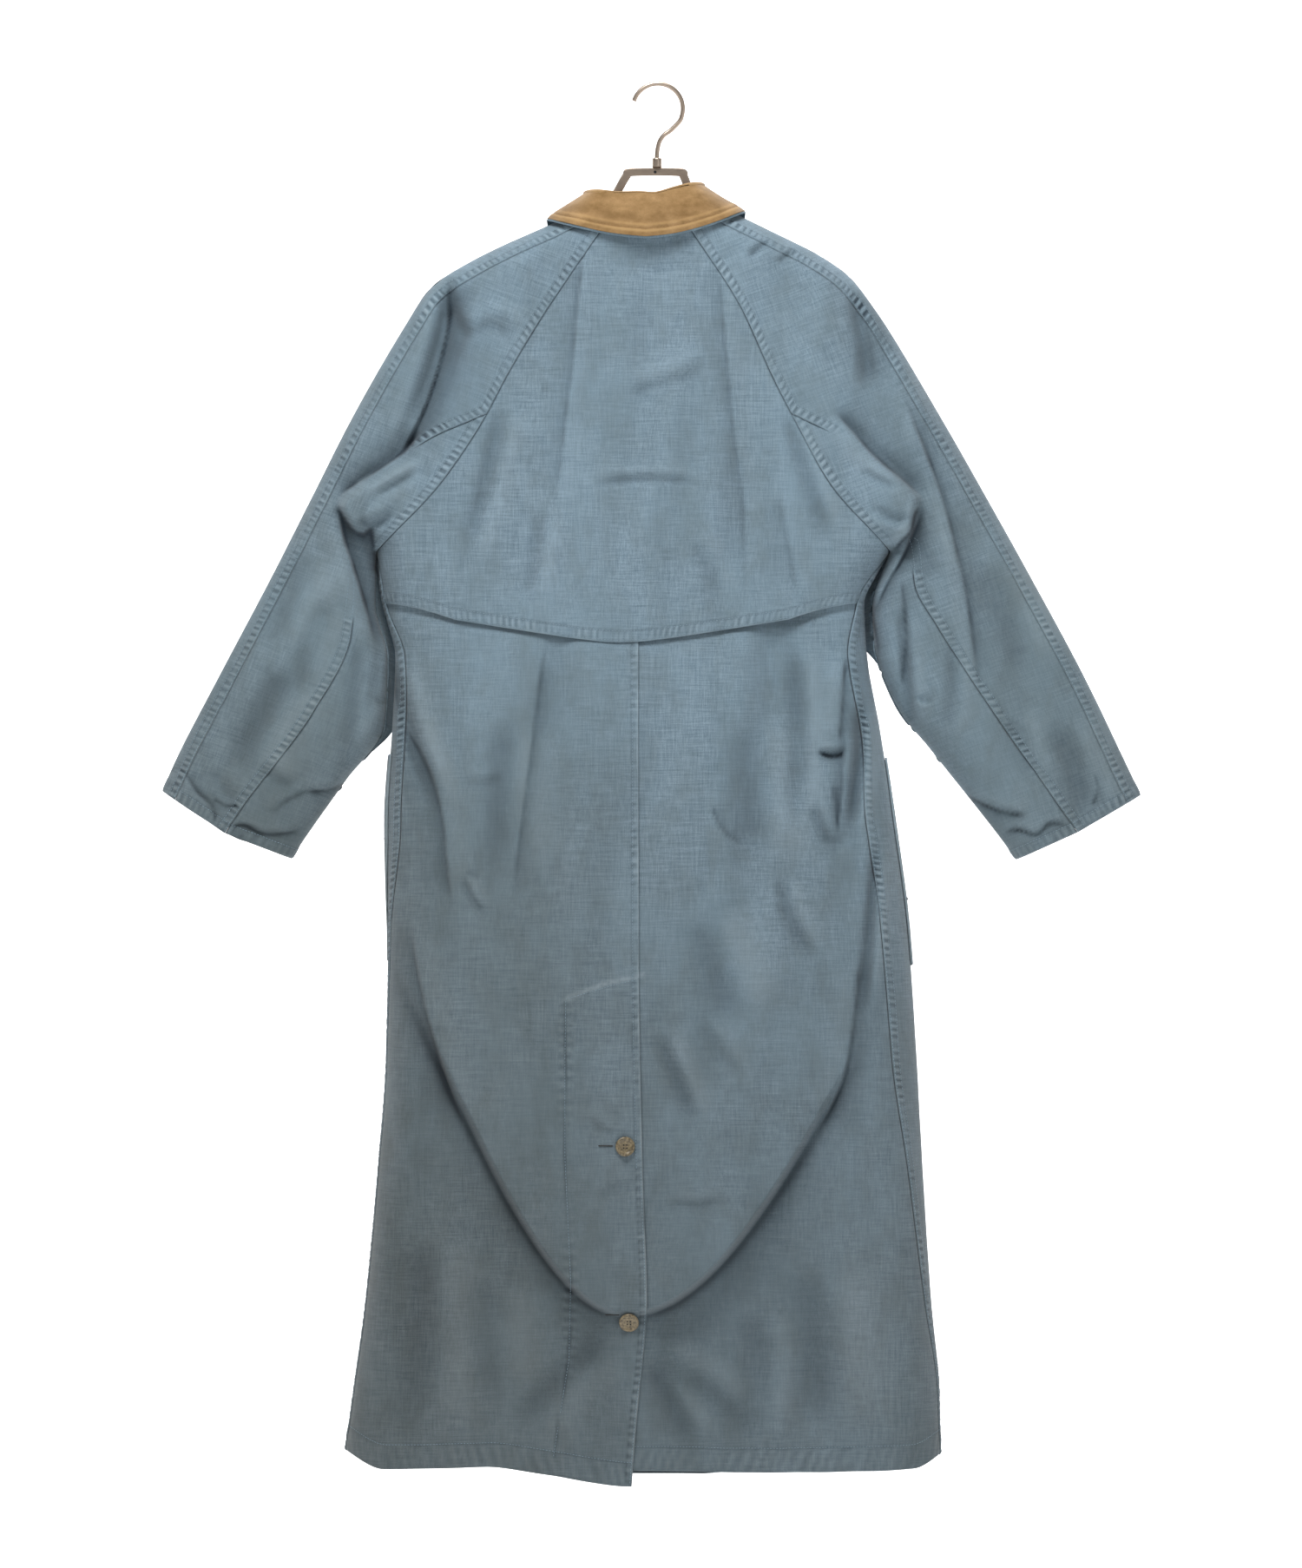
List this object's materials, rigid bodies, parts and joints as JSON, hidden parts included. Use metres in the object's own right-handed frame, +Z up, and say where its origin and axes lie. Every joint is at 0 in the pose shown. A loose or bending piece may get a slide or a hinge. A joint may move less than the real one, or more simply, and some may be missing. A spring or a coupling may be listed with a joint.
{
  "type": "denim coat on a hanger",
  "caption": "Long denim coat with raglan sleeves, storm cape, tan collar and buttoned back vent, hung empty and open at neck, cuffs and hem on a flat-bar hanger.",
  "frame": {"origin": "the point where a rail meets the inside of the hanger's hook", "axes": "+Z up, the back of the coat faces -Y, +X runs to the right as seen from the back"},
  "size_m": [0.9948, 0.1458, 1.4236],
  "materials": {
    "denim": "washed grey-blue twill, faded along the seams",
    "tan_napped_cloth": "short soft nap, matt",
    "horn": "grey-brown horn look, half matt",
    "satin_metal": "satin, pale champagne tint"
  },
  "bodies": {
    "root": {"cape": "denim", "back_left": "denim", "back_right": "denim", "front_left": "denim", "front_right": "denim", "sleeve_left_back": "denim", "sleeve_left_under": "denim", "sleeve_left_front": "denim", "sleeve_right_back": "denim", "sleeve_right_under": "denim", "sleeve_right_front": "denim", "undercollar": "denim", "welt_left": "denim", "welt_right": "denim", "collar": "tan_napped_cloth", "vent_button_upper": "horn", "vent_button_lower": "horn", "front_button_1": "horn", "front_button_2": "horn", "front_button_3": "horn", "front_button_4": "horn", "front_button_5": "horn", "hanger_hook": "satin_metal", "hanger_ferrule": "satin_metal", "hanger_frame": "satin_metal"}
  },
  "joints": []
}
